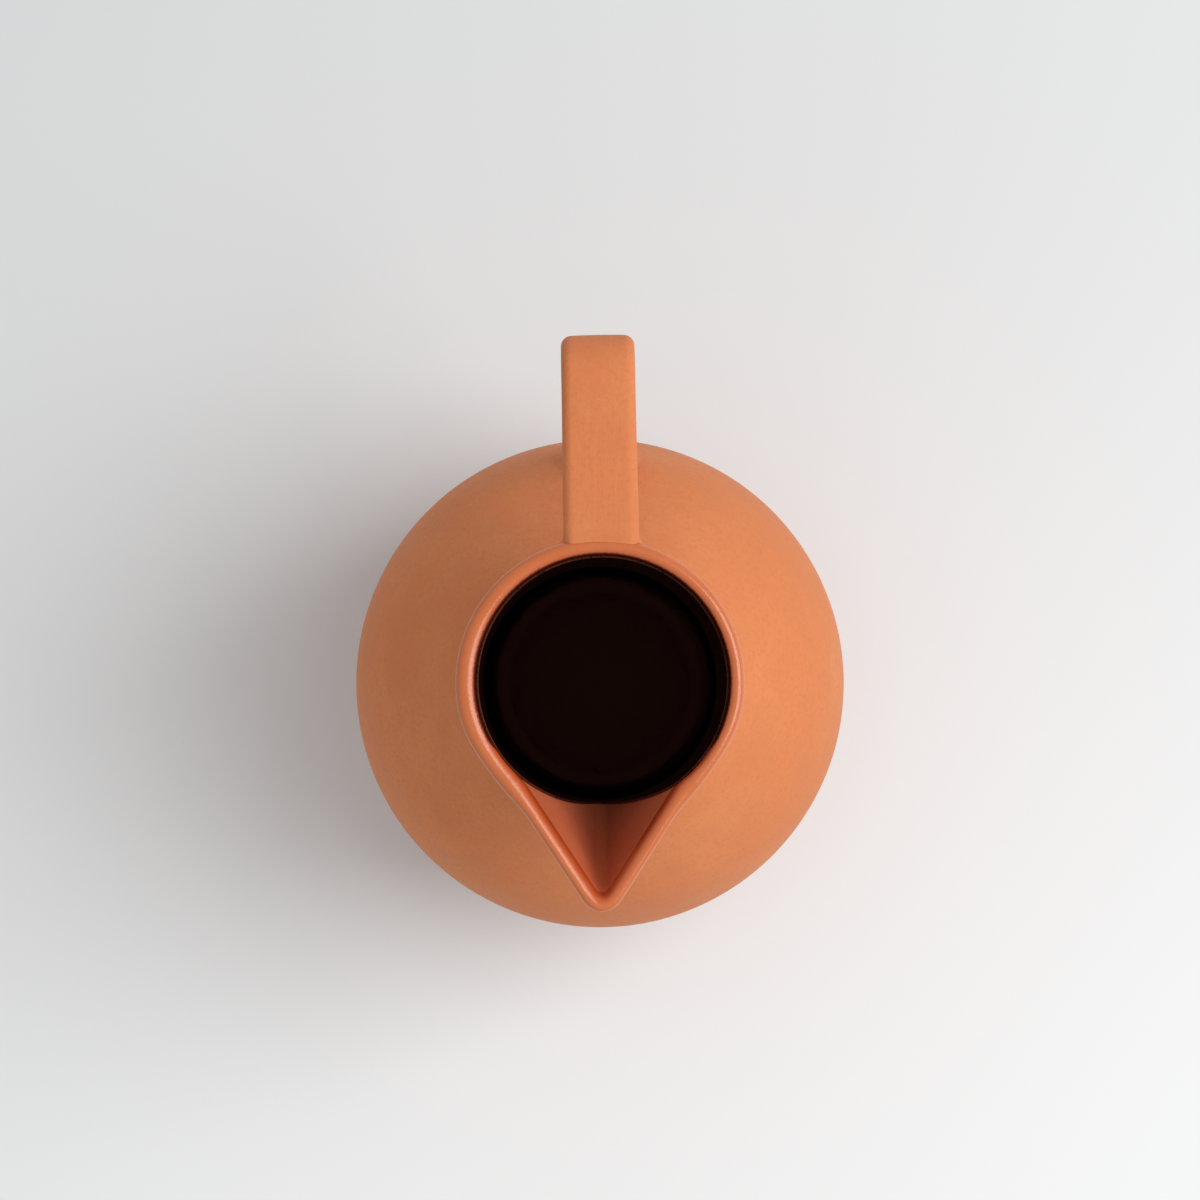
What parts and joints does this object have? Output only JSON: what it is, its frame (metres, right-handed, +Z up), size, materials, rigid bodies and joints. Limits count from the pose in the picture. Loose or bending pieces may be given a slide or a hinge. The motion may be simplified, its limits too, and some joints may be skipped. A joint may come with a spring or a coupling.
{
  "type": "ceramic pitcher",
  "caption": "Earthenware pitcher with a round belly, straight neck, folded V spout, flat strap handle and dark gloss lining.",
  "frame": {"origin": "centre of the foot ring's resting face, on the neck's axis", "axes": "+Z up along the neck, -Y towards the spout's tip, +Y towards the handle, +X to the right seen from above with the spout nearest"},
  "size_m": [0.16, 0.1824, 0.24],
  "materials": {
    "clay": "matte, fine grained",
    "burnished_clay": "burnished, satin",
    "slip": "matte, smoothed",
    "dark_glaze": "gloss"
  },
  "bodies": {
    "root": {"foot_ring": "clay", "base_floor": "clay", "bowl_wall": "clay", "belly_joint": "slip", "shoulder_wall": "clay", "neck_joint": "slip", "neck_collar": "clay", "spout_wall": "clay", "spout_joint": "slip", "rim_lip": "burnished_clay", "handle_strap": "clay", "handle_upper_joint": "slip", "handle_lower_joint": "slip", "interior_glaze": "dark_glaze"}
  },
  "joints": []
}
